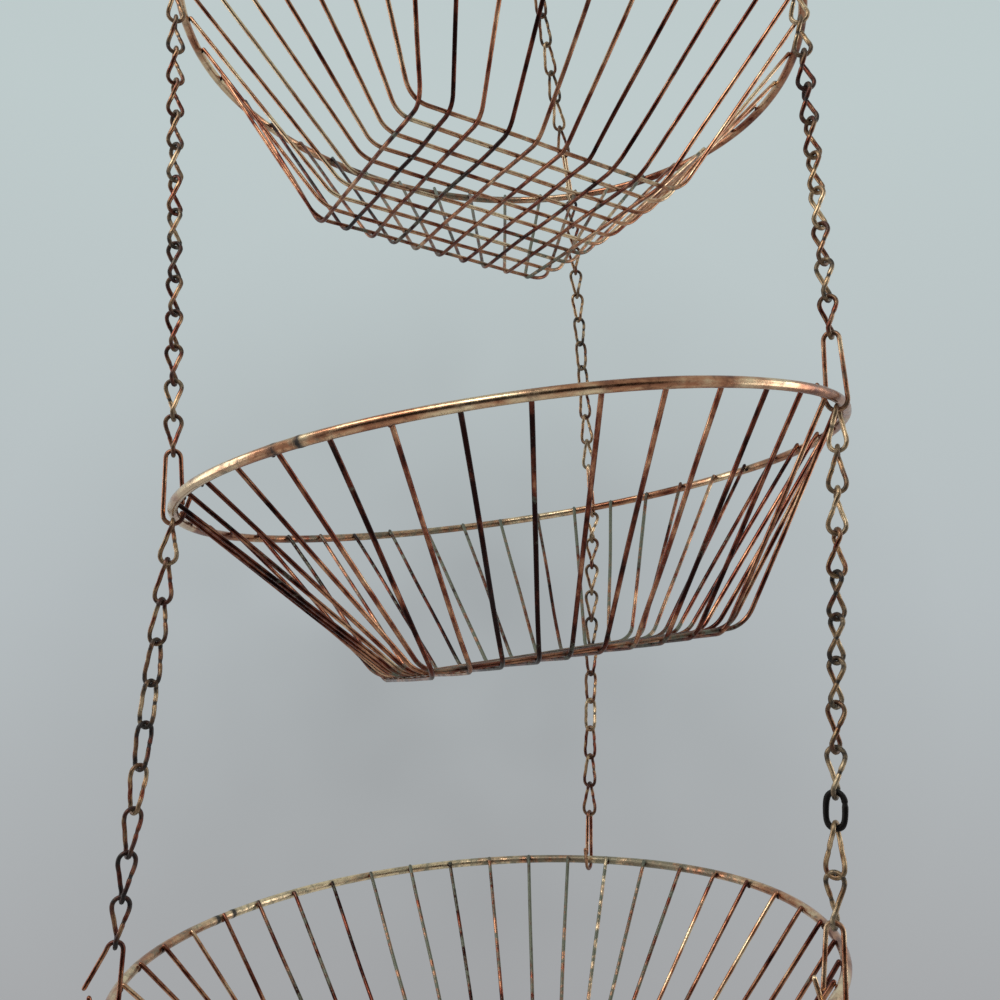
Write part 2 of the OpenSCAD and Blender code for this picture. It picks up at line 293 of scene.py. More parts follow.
def round_ends(paths, radii, normals, wear):
    """Adds two shrinking rings at each end, so that a cut wire ends in a rounded tip."""
    lean = np.radians((78, 45))
    start = unit(paths[:, 1] - paths[:, 0])[:, None]
    end = unit(paths[:, -1] - paths[:, -2])[:, None]
    sink, shrink = np.sin(lean)[None, :, None], np.cos(lean)[None]
    first, last = radii[:, :1], radii[:, -1:]
    head = paths[:, :1] - start * first[..., None] * sink
    tail = paths[:, -1:] + end * last[..., None] * sink[:, ::-1]
    paths = np.concatenate([head, paths, tail], 1)
    radii = np.concatenate([first * shrink, radii, last * shrink[:, ::-1]], 1)
    repeat = lambda a: np.concatenate([a[:, :1], a[:, :1], a, a[:, -1:], a[:, -1:]], 1)
    return paths, radii, repeat(normals), repeat(wear)


def wires(paths, normals, radii, wear, sides, closed=False):
    """Surfaces of many wires at once.

    paths and wear are (wires, stations, 3), radii is (wires, stations), and normals is shaped like
    paths or is one direction for all. A point is path + radius * (cos a * side + sin a * rise),
    where side is the normal made square to the path and rise is path direction x side. Open wires
    end in rounded tips.
    """
    normals = np.broadcast_to(normals, paths.shape)
    if closed:
        along = np.roll(paths, -1, 1) - np.roll(paths, 1, 1)
    else:
        paths, radii, normals, wear = round_ends(paths, radii, normals, wear)
        along = np.gradient(paths, axis=1)
    count, stations = paths.shape[:2]
    along = unit(along)
    side = unit(normals - (normals * along).sum(-1, keepdims=True) * along)
    rise = np.cross(along, side)
    a = np.arange(sides) * 2 * np.pi / sides
    ring = np.cos(a)[:, None] * side[:, :, None] + np.sin(a)[:, None] * rise[:, :, None]
    points = paths[:, :, None] + radii[:, :, None, None] * ring
    steps = np.linalg.norm(np.diff(paths, axis=1), axis=-1)
    length = np.concatenate([np.zeros((count, 1)), np.cumsum(steps, 1)], 1)
    spans = stations if closed else stations - 1
    k, j = np.meshgrid(np.arange(spans), np.arange(sides), indexing="ij")
    k2, j2 = (k + 1) % stations, (j + 1) % sides
    quad = np.stack([k * sides + j, k * sides + j2, k2 * sides + j2, k2 * sides + j], -1)
    shift = np.arange(count)[:, None, None] * stations * sides
    faces = (quad.reshape(1, -1, 4) + shift).reshape(-1, 4)
    if closed:
        length = np.concatenate([length, length[:, -1:] + steps[:, :1]], 1)
    v = np.stack([j, j + 1, j + 1, j], -1) / sides
    u = np.stack([length[:, k], length[:, k], length[:, k + 1], length[:, k + 1]], -1)
    uv = np.stack([u, np.broadcast_to(v, u.shape)], -1).reshape(-1, 2)
    caps = []
    if not closed:
        ring_ids = np.arange(sides)
        for w in range(count):
            first = w * stations * sides + ring_ids
            caps += [first[::-1].tolist(), (first + (stations - 1) * sides).tolist()]
        ends = np.stack([length[:, 0], length[:, -1]], 1).reshape(-1)
        uv = np.concatenate([uv, np.stack([np.repeat(ends, sides), np.tile(a / 7, 2 * count)], -1)])
    spread = np.broadcast_to(wear[:, :, None], points.shape).reshape(-1, 3)
    return points.reshape(-1, 3), faces, caps, uv, spread


def dress(name, parts, material, body, node=None):
    """One object from surfaces, riding its body and standing for its CAD node, if it has one."""
    points, faces, caps, uvs, cap_uvs, wears, base = [], [], [], [], [], [], 0
    for p, f, c, uv, w in parts:
        points.append(p)
        faces.append(f + base)
        caps += [[i + base for i in cap] for cap in c]
        uvs.append(uv[:f.size])
        cap_uvs.append(uv[f.size:])
        wears.append(w)
        base += len(p)
    mesh = bpy.data.meshes.new(name)
    mesh.from_pydata(np.concatenate(points).tolist(), [], np.concatenate(faces).tolist() + caps)
    layer = mesh.uv_layers.new(name="along_wire")
    layer.data.foreach_set("uv", np.concatenate(uvs + cap_uvs).ravel())
    rgba = np.concatenate([np.concatenate(wears), np.ones((base, 1))], 1)
    mesh.attributes.new("wear", "FLOAT_COLOR", "POINT").data.foreach_set("color", rgba.ravel())
    mesh.shade_smooth()
    mesh.materials.append(material)
    mesh.update()
    piece = bpy.data.objects.new(name, mesh)
    bpy.context.scene.collection.objects.link(piece)
    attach(piece, body)
    if node:
        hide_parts(node)


def wear_of(soot, patina, lot):
    """Soot, verdigris and each wire's own tone, side by side for the wear attribute; on the rims
    and the long basket wires the tone also carries a painted highlight.
    """
    return np.stack(np.broadcast_arrays(soot, patina, lot), -1)


def near(x, places, width):
    """How near x is to any of the places: 1 on one, falling off as a bell."""
    gaps = np.asarray(x)[..., None] - np.asarray(places)
    return np.exp(-(gaps / width) ** 2).max(-1)


# Materials


class Graph:
    """Shorthand for wiring the nodes of a material or a world."""

    def __init__(self, material):
        material.use_nodes = True
        self.tree = material.node_tree
        self.tree.nodes.clear()

    def add(self, kind, inputs=(), **settings):
        made = self.tree.nodes.new("ShaderNode" + kind)
        for key, value in settings.items():
            setattr(made, key, value)
        for key, value in dict(inputs).items():
            if isinstance(value, bpy.types.NodeSocket):
                self.tree.links.new(value, made.inputs[key])
            else:
                made.inputs[key].default_value = value
        return made

    def sum_up(self, operation, a, b=0.5, c=0.0):
        return self.add("Math", {0: a, 1: b, 2: c}, operation=operation).outputs[0]

    def noise(self, vector, scale, detail=4.0, rough=0.55, w=None):
        inputs = {"Vector": vector, "Scale": scale, "Detail": detail, "Roughness": rough}
        if w is None:
            return self.add("TexNoise", inputs).outputs[0]
        return self.add("TexNoise", {**inputs, "W": w}, noise_dimensions="4D").outputs[0]

    def window(self, value, low, high, to_low=0.0, to_high=1.0):
        return self.add("MapRange", {"Value": value, "From Min": low, "From Max": high,
                                     "To Min": to_low, "To Max": to_high}).outputs[0]

    def blend(self, factor, a, b):
        return self.add("Mix", {0: factor, 6: a, 7: b}, data_type="RGBA").outputs[2]

    def ramp(self, factor, stops):
        made = self.add("ValToRGB", {0: factor})
        ramp = made.color_ramp
        while len(ramp.elements) < len(stops):
            ramp.elements.new(0.5)
        for element, (place, value) in zip(ramp.elements, stops):
            element.position = place
            element.color = value
        return made.outputs[0]


def weathered(name, stops, streak, tone, polish, bloom):
    """A worn plating: tones that run along the wire, dark streaks, soot and verdigris.

    streak is how many tones a metre along the wire and how many round it, tone moves all of it
    lighter or darker, polish is the range of roughness and bloom the strength of the verdigris.
    """
    colours = bpy.context.scene.metal_colours
    material = bpy.data.materials.new(name)
    g = Graph(material)
    place = g.add("TexCoord").outputs["Object"]
    wear = g.add("SeparateColor", {0: g.add("Attribute", attribute_name="wear").outputs[0]}).outputs
    along = g.add("Mapping", {0: g.add("UVMap", uv_map="along_wire").outputs[0],
                              3: (streak[0], streak[1], 1.0)}).outputs[0]
    lot = g.sum_up("MULTIPLY", wear[2], 23.0)
    tones = g.noise(along, 1.0, 5.0, 0.62, lot)
    blotches = g.noise(place, 75.0, 4.0, 0.6)
    broad = g.noise(place, 16.0, 2.0)
    # The third part of wear, each wire's tone, moves the colour towards pale gold; on the rims'
    # paler arcs and the long basket wires this is a painted highlight
    mixed = g.sum_up("MULTIPLY_ADD", wear[2], 0.16, tone - 0.19)
    for pattern, share in ((broad, 0.30), (blotches, 0.30), (tones, 0.62)):
        mixed = g.sum_up("MULTIPLY_ADD", pattern, share, mixed)
    surface = g.ramp(g.window(mixed, 0.29, 0.71), stops)
    fine = g.noise(place, 620.0, 3.0, 0.7)
    surface = g.blend(g.window(fine, 0.56, 0.76, 0.0, 0.55), surface, colours.maroon)
    finer = g.add("Mapping", {0: along, 3: (2.6, 2.5, 1.0)}).outputs[0]
    streaks = g.noise(finer, 1.0, 4.0, 0.7, lot)
    surface = g.blend(g.window(streaks, 0.58, 0.72, 0.0, 0.8), surface, colours.maroon)
    green = g.sum_up("MULTIPLY_ADD", wear[1], 0.42, g.noise(place, 210.0, 5.0, 0.7))
    green = g.window(green, 0.66, 0.84, 0.0, bloom)
    surface = g.blend(green, surface, colours.verdigris)
    specks = g.window(g.noise(place, 420.0, 3.0), 0.25, 0.6, 0.45, 1.25)
    black = g.window(g.sum_up("MULTIPLY", wear[0], specks), 0.05, 0.9, 0.0, 0.96)
    surface = g.blend(black, surface, colours.soot)
    dull = g.sum_up("MAXIMUM", green, black)
    rough = g.window(g.noise(place, 260.0, 4.0), 0.3, 0.7, polish[0], polish[1])
    rough = g.sum_up("ADD", rough, g.sum_up("MULTIPLY", dull, 0.22))
    shine = g.window(dull, 0.0, 1.0, 1.0, 0.35)
    pits = g.noise(place, 1500.0, 3.0, 0.7)
    grain = g.sum_up("MULTIPLY_ADD", pits, 0.5, g.sum_up("MULTIPLY", blotches, 0.6))
    bump = g.add("Bump", {"Strength": 0.35, "Distance": 0.00022, "Height": grain}).outputs[0]
    shader = g.add("BsdfPrincipled", {"Base Color": surface, "Metallic": shine, "Roughness": rough,
                                      "Normal": bump})
    g.add("OutputMaterial", {0: shader.outputs[0]})
    return material


def finish(name):
    """The named finish, made the first time that a piece asks for it."""
    if name in bpy.data.materials:
        return bpy.data.materials[name]
    c = bpy.context.scene.metal_colours
    copper = ((0.14, c.maroon), (0.38, c.brown), (0.62, c.copper), (0.88, c.gold))
    made = {
        "aged_copper_rod": lambda: weathered(name, copper, (40.0, 1.6), 0.06, (0.13, 0.30), 0.8),
        "aged_copper_wire": lambda: weathered(name, copper, (85.0, 1.2), -0.03, (0.13, 0.32), 1.0),
        "aged_copper_clip": lambda: weathered(name, copper, (120.0, 1.2), 0.02, (0.16, 0.36), 0.5),
        "weld_copper": lambda: weathered(name, copper, (300.0, 2.0), -0.08, (0.35, 0.6), 0.6),
        "toned_brass_link": lambda: weathered(
            name, ((0.16, c.maroon), (0.44, c.brown), (0.68, c.brass), (1.0, c.gold)),
            (160.0, 1.2), 0.05, (0.18, 0.42), 0.5),
        "blackened_iron": lambda: weathered(
            name, ((0.2, c.soot), (0.7, c.iron), (0.9, c.brown)),
            (160.0, 1.5), 0.0, (0.3, 0.55), 0.1),
        "rubbed_hook_steel": lambda: weathered(
            name, ((0.1, c.soot), (0.35, c.iron), (0.55, c.steel), (0.85, c.steel)),
            (90.0, 1.5), 0.1, (0.24, 0.42), 0.1),
    }
    return made[name]()


# Baskets


def rim_path(t, stations=420):
    """A circle with slow strays of a hand-closed hoop, true where the clips hang."""
    basket = bpy.context.scene.basket_sizes
    a = np.arange(stations) * 2 * np.pi / stations
    centre, lean = tier_frame(t)
    flat = np.stack([np.cos(a), np.sin(a), np.zeros(stations)], -1)
    clips = clips_and_runs()[0]
    free = np.ones(stations)
    for side in SIDES:
        held = np.linalg.inv(lean) @ (clips[t, side]["rim"] - centre)
        free = free * (1 - near(wrapped(a - math.atan2(held[1], held[0])), [0], 0.22))
    phases = np.random.default_rng(40 + t).uniform(0, 6.28, (2, 4))
    waves = np.sin(np.array((2, 3, 5, 7)) * a[:, None] + phases[:, None])
    stray = waves[0].dot((0.5, 0.3, 0.25, 0.15)) * basket.waviness * free * 0.6
    lift = waves[1].dot((0.5, 0.35, 0.2, 0.12)) * basket.waviness * free * 0.6
    return a, centre, lean, flat * (basket.rim_diameter / 2 + stray)[:, None] + UP * lift[:, None]


def rim_rod(t):
    """The rim: its path carries a round section that swells a little at its joint's two ends.

    The plating is painted paler on the joint and for some way before it, as a painted highlight.
    """
    basket = bpy.context.scene.basket_sizes
    a, centre, lean, local = rim_path(t)
    gap = wrapped(a - math.radians(RIM_SEAMS[t]))
    bead = near(gap, [0.0, JOINT_ARC], 0.011)
    # Painted highlight: the arc up to the joint is set paler, towards pale gold
    painted_highlight = (gap > -1.0) & (gap < JOINT_ARC)
    radii = basket.rim_rod / 2 * (1 + 0.02 * np.sin(9 * a) + 0.07 * bead)
    path = centre + local @ lean.T
    rng = np.random.default_rng(70 + t)
    step = math.radians(90) / basket.wires_per_layer
    turn = bpy.context.scene.hanging_places.turns[t]
    welds = near((a - turn + step / 2) % step, [0, step], 0.013)
    rear = np.clip(path[:, 1] / 0.13, 0, 1)
    patina = 0.10 + 0.45 * rear + 0.2 * np.sin(3 * a + rng.uniform(0, 6))
    wear = wear_of(0.30 * welds + 1.1 * bead, np.clip(patina + 0.15 * (t == 2), 0, 1),
                   0.3 + 0.2 * t + 0.6 * painted_highlight)
    return wires(path[None], lean @ UP, radii[None], wear[None], 20, True)


def layer_paths(z, laps, seed):
    """Middle lines of one layer's wires in the basket's own axes, with x along the flat stretch.

    A flat stretch, a round bend and a straight side at each end; the sides fan out so that the
    tips stand at equal steps inside the rim. Slow strays are added that die out at the tips.
    """
    b = bpy.context.scene.basket_sizes
    n = b.wires_per_layer
    step = math.radians(90) / n
    rng = np.random.default_rng(seed)
    places = np.arange(n) - (n - 1) / 2
    y, fan = places * b.base_width / (n - 1), places * step
    end_r = b.rim_diameter / 2 - b.rim_rod / 2 - b.wire / 2 + b.weld_sink
    halves = []
    for sign, lap in ((-1, laps[0]), (1, laps[1])):
        out = np.array((sign, 0.0, 0.0))
        tip_z = b.rim_rod / 4 + rng.uniform(-0.0003, 0.0010, n)
        corner = np.stack([np.full(n, sign * (b.base_width / 2 + lap)), y, np.full(n, z)], -1)
        tip = np.stack([sign * end_r * np.cos(fan), end_r * np.sin(fan), tip_z], -1)
        rise = unit(tip - corner)
        turn = np.arccos(rise @ out)
        reach = (b.bend_radius * np.tan(turn / 2))[:, None]
        inward = unit(rise - (rise @ out)[:, None] * out)
        angle = (np.linspace(0, 1, 10)[None] * turn[:, None])[..., None]
        foot = corner - reach * out
        arc = np.sin(angle) * out + (1 - np.cos(angle)) * inward[:, None]
        bend = foot[:, None] + b.bend_radius * arc
        up = (corner + reach * rise)[:, None]
        side = up + np.linspace(0, 1, 27)[1:][None, :, None] * (tip[:, None] - up)
        halves.append(np.concatenate([bend, side], 1))
    left, right = halves[0][:, ::-1], halves[1]
    share = np.linspace(0, 1, 40)[1:-1][None, :, None]
    flat = left[:, -1:] + share * (right[:, :1] - left[:, -1:])
    paths = np.concatenate([left, flat, right], 1)
    stations = paths.shape[1]
    fade = np.sin(np.pi * np.linspace(0, 1, stations)) ** 0.7
    stray = wander(seed + 1, n, stations, 7) * fade * b.waviness * 0.9
    paths = paths + stray[..., None] * (0, 1, 0)
    drift = wander(seed + 2, n, stations, 4) * fade * b.waviness * 0.25
    return paths + drift[..., None] * UP


def basket_wires(t, cross):
    """One layer of a basket's wires in place, with soot at its welds and its own patina."""
    b = bpy.context.scene.basket_sizes
    cross_z = -b.depth + b.wire / 2
    if cross:
        paths = layer_paths(cross_z, (b.corner_lap, b.corner_lap), 300 + 10 * t)
    else:
        laps = (b.corner_lap, b.corner_lap + b.base_overrun)
        paths = layer_paths(cross_z + b.wire - b.weld_sink, laps, 200 + 10 * t)
    count, stations = paths.shape[:2]
    rng = np.random.default_rng(500 + 10 * t + cross)
    grid = (np.arange(count) - (count - 1) / 2) * b.base_width / (count - 1)
    base = paths[..., 2] < -b.depth * 0.9
    crossings = near(paths[..., 0], grid, 0.0012) * base
    reach = np.linalg.norm(paths[:, :, :2], axis=-1)
    tips = np.clip((reach - (b.rim_diameter / 2 - 0.010)) / 0.008, 0, 1)
    spots = np.clip(wander(520 + t, count, stations, 9), 0, 1)
    soot = 0.35 * crossings + 0.2 * tips ** 2 + 0.25 * spots
    turn = bpy.context.scene.hanging_places.turns[t] + (math.pi / 2 if cross else 0)
    centre, lean = tier_frame(t)
    pose = lean @ spin("Z", turn)
    placed = centre + paths @ pose.T
    rear = np.clip((placed[..., 1] - 0.02) / 0.10, 0, 1)
    lot = rng.uniform(0, 1, (count, 1))
    flat = base * (0.35 if t == 1 else 0.1)
    patina = 0.08 + rear * (0.45 + 0.45 * lot) + flat + 0.2 * wander(530 + t, count, stations)
    radii = b.wire / 2 * (1 + 0.03 * wander(540 + t, count, stations, 9))
    # Painted highlight: the long wires are set paler than the cross wires, towards pale gold; the
    # difference is least in the middle basket
    tone = lot + (-0.25 if cross else (0.5, 0.05, 0.3)[t])
    return wires(placed, pose[:, 1], radii, wear_of(soot, np.clip(patina, 0, 1), tone), 10)


def weld_beads(t):
    """Beads of weld between the wires' tips and the rim.

    A bead is a sphere of latitude and longitude, stretched along the rim and pressed flat against
    it, whose radius strays from bead to bead.
    """
    b = bpy.context.scene.basket_sizes
    rng = np.random.default_rng(600 + t)
    count = 4 * b.wires_per_layer
    step = math.radians(90) / b.wires_per_layer
    turn = bpy.context.scene.hanging_places.turns[t]
    a = turn + step * (np.arange(count) + 0.5)
    out = np.stack([np.cos(a), np.sin(a), np.zeros(count)], -1)
    along = np.stack([-np.sin(a), np.cos(a), np.zeros(count)], -1)
    place = out * (b.rim_diameter / 2 - b.rim_rod / 2 + 0.0001)
    place = place + UP * (b.rim_rod * rng.uniform(-0.12, 0.22, count))[:, None]
    grow = rng.uniform(0.75, 1.2, (count, 3)) * np.array((0.00115, 0.00050, 0.00100))
    lat = np.linspace(-np.pi / 2, np.pi / 2, 7)[1:-1]
    lon = np.arange(9) * 2 * np.pi / 9
    la, lo = np.meshgrid(lat, lon, indexing="ij")
    ball = np.stack([np.cos(la) * np.cos(lo), np.cos(la) * np.sin(lo), np.sin(la)], -1)
    ball = np.concatenate([ball.reshape(-1, 3), [[0, 0, -1], [0, 0, 1]]])
    lumpy = 1 + 0.12 * rng.normal(0, 1, (count, len(ball), 1)).clip(-1, 1)
    local = ball[None] * lumpy * grow[:, None]
    points = (place[:, None] + local[..., :1] * along[:, None] - local[..., 1:2] * out[:, None]
              + local[..., 2:] * UP)
    centre, lean = tier_frame(t)
    points = centre + points @ lean.T
    rows, cols = len(lat), len(lon)
    i, j = np.meshgrid(np.arange(rows - 1), np.arange(cols), indexing="ij")
    j2 = (j + 1) % cols
    quads = np.stack([i * cols + j, i * cols + j2, (i + 1) * cols + j2, (i + 1) * cols + j], -1)
    ring = np.arange(cols)
    ring2 = (ring + 1) % cols
    south, north = rows * cols, rows * cols + 1
    tris = np.concatenate([np.stack([ring * 0 + south, ring2, ring], -1),
                           np.stack([ring * 0 + north, ring + (rows - 1) * cols,
                                     ring2 + (rows - 1) * cols], -1)])
    # The local axes along, -out and up are right-handed, so the faces look outwards
    shift = np.arange(count)[:, None, None] * len(ball)
    faces = (quads.reshape(1, -1, 4) + shift).reshape(-1, 4)
    caps = (tris[None] + shift).reshape(-1, 3)
    uv = np.zeros((faces.size + caps.size, 2))
    uv[:, 0] = np.linspace(0, 0.5, len(uv))
    wear = wear_of(rng.uniform(0.0, 0.6, count), 0.2, rng.uniform(0, 1, count))
    wear = np.broadcast_to(wear[:, None], points.shape)
    return points.reshape(-1, 3), faces, caps.tolist(), uv, wear.reshape(-1, 3)


# Chains, clips, hook and ring


def link_path(length, width, wire, stations=60):
    """Middle line of a twisted link in its own axes, z up, and the direction square to its loop.

    A stadium of two half circles and two sides; a point at height z is turned about z by a smooth
    quarter turn from the bottom bend to the top one, and the sides draw in a little half way.
    """
    r = (width - wire) / 2
    half = length / 2 - r
    s = np.arange(stations) / stations * (2 * math.pi * r + 4 * half)
    quarter = math.pi * r
    z, w = np.empty(stations), np.empty(stations)
    top = s < quarter
    a = s[top] / r
    w[top], z[top] = r * np.cos(a), half + r * np.sin(a)
    down = (s >= quarter) & (s < quarter + 2 * half)
    w[down], z[down] = -r, half - (s[down] - quarter)
    low = (s >= quarter + 2 * half) & (s < 2 * quarter + 2 * half)
    a = (s[low] - quarter - 2 * half) / r
    w[low], z[low] = -r * np.cos(a), -half - r * np.sin(a)
    up = s >= 2 * quarter + 2 * half
    w[up], z[up] = r, -half + (s[up] - 2 * quarter - 2 * half)
    t = np.clip((z + half) / (2 * half), 0, 1)
    turn = (0.65 * t + 0.35 * t * t * (3 - 2 * t)) * math.pi / 2
    w = w * (1 - 0.24 * np.sin(np.pi * t) ** 2)
    path = np.stack([w * np.cos(turn), w * np.sin(turn), z], -1)
    normal = np.stack([-np.sin(turn), np.cos(turn), np.zeros(stations)], -1)
    return path, normal, t


def run_of_links(high, high_r, high_tangent, low, low_r, low_tangent, gap, seed):
    """Links between two wires that hold the run's ends, as the packed chain has them.

    The links are equally long, and each is turned a little further than the last, so that the end
    bends stand square to both wires.
    """
    chain = bpy.context.scene.chain_sizes
    up = unit(high - low)
    x_axis = across(np.array((1.0, 0, 0)), up)
    y_axis = np.cross(up, x_axis)
    between = chain.wire + chain.bearing_gap
    span = np.linalg.norm(high - low) + high_r + low_r + between + gap
    count = max(1, round((span - between) / chain.link_pitch))
    length = (span + (count - 1) * between) / count
    start = math.atan2(high_tangent @ y_axis, high_tangent @ x_axis)
    twist = math.atan2(low_tangent @ y_axis, low_tangent @ x_axis) - math.pi / 2 - start
    twist = twist - math.pi * round(twist / math.pi)
    first = high + up * (high_r + chain.wire / 2 + chain.bearing_gap - length / 2)
    i = np.arange(count)
    a = start + twist * i / max(1, count - 1)
    path, normal, t = link_path(length, chain.link_width, chain.wire)
    ex = np.cos(a)[:, None] * x_axis + np.sin(a)[:, None] * y_axis
    ey = -np.sin(a)[:, None] * x_axis + np.cos(a)[:, None] * y_axis
    axes = np.stack([ex, ey, np.broadcast_to(up, ex.shape)], 1)
    centres = first - i[:, None] * (length - between) * up
    paths = centres[:, None] + np.einsum("sk,nkc->nsc", path, axes)
    normals = np.einsum("sk,nkc->nsc", normal, axes)
    rng = np.random.default_rng(seed)
    s = np.arange(len(path)) / len(path)
    joint = near(s, [0.36], 0.016)
    swell = 1 - 0.20 * joint + 0.05 * near(s, [0.33, 0.39], 0.02)
    radii = np.broadcast_to(chain.wire / 2 * swell, (count, len(path)))
    bearing = near(t, [0, 1], 0.20)
    soot = np.clip(0.55 * bearing + 0.9 * joint + rng.uniform(-0.25, 0.35, (count, 1)), 0, 1)
    wear = wear_of(soot, rng.uniform(0, 0.5, (count, 1)), rng.uniform(0, 1, (count, 1)))
    return wires(paths, normals, radii, wear, 8, True)


def bent(pieces, spacing):
    """A flat path from arcs and straights, in equal steps and eased by a short average."""
    raw = np.concatenate(pieces)
    keep = np.concatenate([[True], np.linalg.norm(np.diff(raw, axis=0), axis=1) > 1e-7])
    raw = raw[keep]
    s = np.concatenate([[0], np.cumsum(np.linalg.norm(np.diff(raw, axis=0), axis=1))])
    at = np.linspace(0, s[-1], max(8, int(s[-1] / spacing)))
    path = np.stack([np.interp(at, s, raw[:, c]) for c in range(raw.shape[1])], -1)
    for _ in range(2):
        path[1:-1] = (path[:-2] + 2 * path[1:-1] + path[2:]) / 4
    return path


def sweep(centre, radius, start, end, points):
    """Points of an arc in the x-z plane, between two angles measured from x towards z."""
    a = np.radians(np.linspace(start, end, points))
    return np.stack([centre[0] + radius * np.cos(a), centre[1] + radius * np.sin(a)], -1)


def clip_path(pried_open):
    """A clip's wire in its own x-z plane: stub, bottom loop, long leg, top loop and short leg."""
    chain = bpy.context.scene.chain_sizes
    c = clip_levels()
    taper = math.asin((c["wide"] - c["narrow"]) / (c["high"] - c["low"]))
    flare = math.radians(STUB_FLARE)
    foot = np.array((-c["wide"] * math.cos(flare), c["low"] - c["wide"] * math.sin(flare)))
    rise = np.array((-math.sin(flare), math.cos(flare)))
    stub = foot + (chain.clip_stub_top - foot[1]) / math.cos(flare) * rise
    loop = sweep((0, c["low"]), c["wide"], 180 + STUB_FLARE, 360 + math.degrees(taper), 30)
    crown = sweep((0, c["high"]), c["narrow"], math.degrees(taper), 180 - math.degrees(taper), 22)
    shoulder = crown[-1]
    if pried_open:
        flare = math.radians(OPEN_FLARE)
        tip = shoulder - chain.open_leg * np.array((math.sin(flare), math.cos(flare)))
    else:
        lean = np.array((math.sin(taper), math.cos(taper)))
        tip = shoulder - (shoulder[1] - chain.clip_leg_end) / lean[1] * lean
    return bent([np.linspace(stub, foot, 12), loop, np.linspace(loop[-1], crown[0], 24), crown,
                 np.linspace(shoulder, tip, 24)], 0.00055)


def rim_clip(t, side, clip):
    """The clip's path set up round the rim, blackened where it bears."""
    chain = bpy.context.scene.chain_sizes
    pried_open = t == 2 and side == "left"
    out = -clip["out"] if pried_open else clip["out"]
    flat = clip_path(pried_open)
    through = np.cross(clip["axis"], out)
    n = len(flat)
    s = np.linspace(0, 1, n)
    rng = np.random.default_rng(800 + 10 * t + len(side))
    bow = np.sin(np.pi * s) * np.sin(2 * np.pi * s + rng.uniform(0, 6)) * 0.00005
    path = clip["rim"] + flat[:, :1] * out + flat[:, 1:] * clip["axis"] + bow[:, None] * through
    bearing = near(flat[:, 1], [-0.003, clip_levels()["reach"]], 0.002)
    wear = wear_of(0.5 * bearing, 0.2 + 0.3 * rng.uniform(), rng.uniform())
    radii = chain.clip_wire / 2 * (1 + 0.02 * wander(830 + t, 1, n, 6))
    return wires(path[None], through, radii, wear[None], 12)


def mended_link():
    """A plain oval of thick black wire that was closed by hand, thinner at its joint."""
    chain = bpy.context.scene.chain_sizes
    low, high, clip = repair_ends()
    r = (chain.link_width - chain.wire) / 2 + REPAIR_EASE
    half = (chain.repair_length - chain.repair_wire) / 2 - r
    a = np.linspace(0, 2 * np.pi, 90, endpoint=False)
    w = r * np.cos(a)
    z = r * np.sin(a) + half * np.tanh(2.6 * np.sin(a))
    z = z * (r + half) / np.abs(z).max()
    side = clip["out"]
    path = (low + high) / 2 + w[:, None] * side + z[:, None] * clip["axis"]
    through = np.cross(clip["axis"], side)
    joint = near(wrapped(a - 0.25), [0], 0.05)
    radii = chain.repair_wire / 2 * (1 - 0.28 * joint + 0.04 * np.sin(5 * a))
    wear = wear_of(0.25 + 0.5 * joint, 0.1, 0.4)
    return wires(path[None], through, radii[None], wear[None], 12, True)


def hook_rod():
    """The S-hook: an upper arc, a slanting shank and a lower arc, all in the x-z plane."""
    chain = bpy.context.scene.chain_sizes
    high, low, _, _ = hook_and_ring()
    r = chain.hook_bend
    slant = math.degrees(math.asin(2 * r / chain.hook_span))
    upper = sweep((0, high), r, 180, -slant, 40)
    lower = sweep((0, low), r, 180 - slant, 360, 40)
    flat = bent([upper, np.linspace(upper[-1], lower[0], 30), lower], 0.0007)
    path = np.stack([flat[:, 0], np.zeros(len(flat)), flat[:, 1]], -1)
    seat = near(flat[:, 1], [0.0015, low - r], 0.002)
    wear = wear_of(0.3 * seat + 0.1, 0.05, 0.6)
    radii = np.full((1, len(path)), chain.hook_rod / 2)
    return wires(path[None], (0, 1, 0), radii, wear[None], 16)


def ring_wire():
    """The gathering ring: a circle in the y-z plane, swelled where it is welded shut."""
    chain = bpy.context.scene.chain_sizes
    _, _, z, r = hook_and_ring()
    a = np.linspace(0, 2 * np.pi, 140, endpoint=False)
    path = np.stack([0 * a, r * np.cos(a), z + r * np.sin(a)], -1)
    seam = near(a, [2.9], 0.05)
    bears = near(a, [math.pi / 2, math.pi * 1.5], 0.35)
    wear = wear_of(0.35 * bears + 0.6 * seam, 0.25, 0.5)
    radii = chain.ring_wire / 2 * (1 + 0.12 * seam)
    return wires(path[None], (1, 0, 0), radii[None], wear[None], 16, True)


# Operators


class RimsOperator(bpy.types.Operator):
    """Make the rim rods of the three baskets"""
    bl_idname = "fruit_basket.rims"
    bl_label = "Rims"

    def execute(self, context):
        for t, tier in enumerate(TIERS):
            dress(f"{tier}_rim_rod", [rim_rod(t)], finish("aged_copper_rod"), f"{tier}_tier",
                  f"{tier}_rim")
        return {"FINISHED"}


class BasketWiresOperator(bpy.types.Operator):
    """Make the long and the cross wires of the three baskets"""
    bl_idname = "fruit_basket.wires"
    bl_label = "Basket wires"

    def execute(self, context):
        for t, tier in enumerate(TIERS):
            for cross, layer in ((False, "long"), (True, "cross")):
                dress(f"{tier}_{layer}_wire_set", [basket_wires(t, cross)],
                      finish("aged_copper_wire"), f"{tier}_tier",
                      f"{tier}_{layer}_wires")
        return {"FINISHED"}


class WeldBeadsOperator(bpy.types.Operator):
    """Make the beads of weld between the wires and the rims"""
    bl_idname = "fruit_basket.weld_beads"
    bl_label = "Weld beads"

    def execute(self, context):
        for t, tier in enumerate(TIERS):
            dress(f"{tier}_rim_weld_beads", [weld_beads(t)], finish("weld_copper"), f"{tier}_tier")
        return {"FINISHED"}


